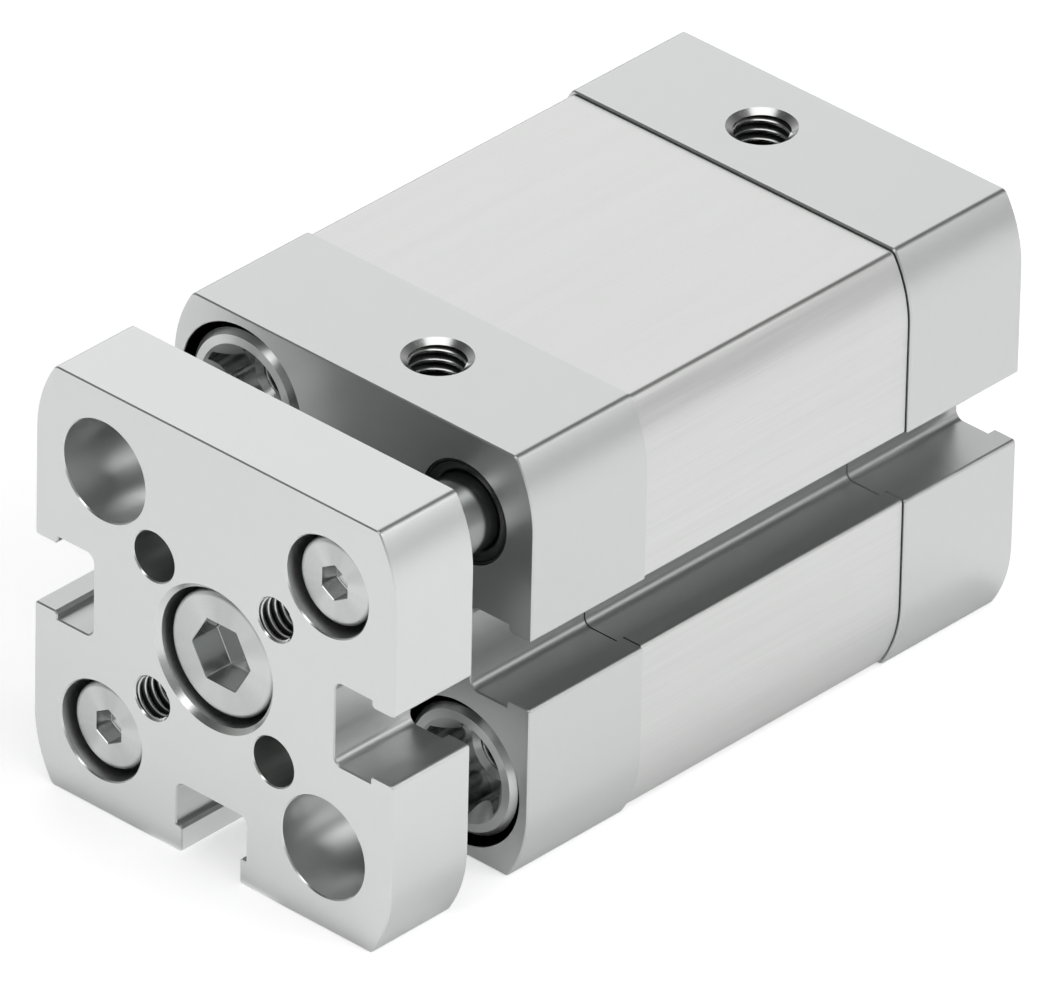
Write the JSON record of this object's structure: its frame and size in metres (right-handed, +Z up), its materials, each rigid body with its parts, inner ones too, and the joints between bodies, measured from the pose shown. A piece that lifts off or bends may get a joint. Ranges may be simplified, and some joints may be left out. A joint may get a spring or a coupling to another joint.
{
  "type": "guided pneumatic cylinder",
  "caption": "Compact double-acting air cylinder with a profile barrel, two threaded ports on top and a front plate carried by the piston rod and two guide rods.",
  "frame": {"origin": "on the cylinder axis, in the rear mounting face, at the mouth of the centring bore", "axes": "+Y points out of the rear face and the rods move out along -Y; +Z is up, towards the air ports; +X is on the right when seen from the front plate"},
  "size_m": [0.0356, 0.0662, 0.0356],
  "materials": {
    "anodised_plate": "fine blasted, clear anodised",
    "anodised_cap": "fine blasted, clear anodised",
    "anodised_barrel": "extruded, brushed along its length, clear anodised",
    "turned_aluminium": "turned",
    "screw_steel": "zinc plated",
    "rod_steel": "ground and polished",
    "bush_bronze": "sintered bronze",
    "seal_rubber": "matt black",
    "bumper_elastomer": "moulded elastomer",
    "magnet_compound": "moulded magnet compound",
    "guide_polymer": "turned polymer"
  },
  "bodies": {
    "housing": {"barrel": "anodised_barrel", "bearing_cap": "anodised_cap", "end_cap": "anodised_cap", "rod_seal": "seal_rubber", "rod_bush": "bush_bronze", "cap_seal_front": "seal_rubber", "cap_seal_rear": "seal_rubber", "bumper_front": "bumper_elastomer", "bumper_rear": "bumper_elastomer", "guide_wiper_upper": "seal_rubber", "guide_wiper_lower": "seal_rubber", "guide_bush_upper": "bush_bronze", "guide_bush_lower": "bush_bronze", "front_collar_screws": "screw_steel", "rear_collar_screws": "screw_steel"},
    "carriage": {"yoke_plate": "anodised_plate", "rod_screw": "screw_steel", "guide_screw_upper": "screw_steel", "guide_screw_lower": "screw_steel", "piston_rod": "rod_steel", "guide_rod_upper": "rod_steel", "guide_rod_lower": "rod_steel", "piston_front": "turned_aluminium", "piston_rear": "turned_aluminium", "piston_seal_front": "seal_rubber", "piston_seal_rear": "seal_rubber", "piston_magnet": "magnet_compound", "piston_guide_ring": "guide_polymer", "piston_screw": "screw_steel", "rod_o_ring": "seal_rubber"}
  },
  "joints": [
    {"name": "stroke", "type": "slide", "parent": "housing", "child": "carriage", "axis": [0, -1, 0], "range_m": [0, 0.015]}
  ]
}
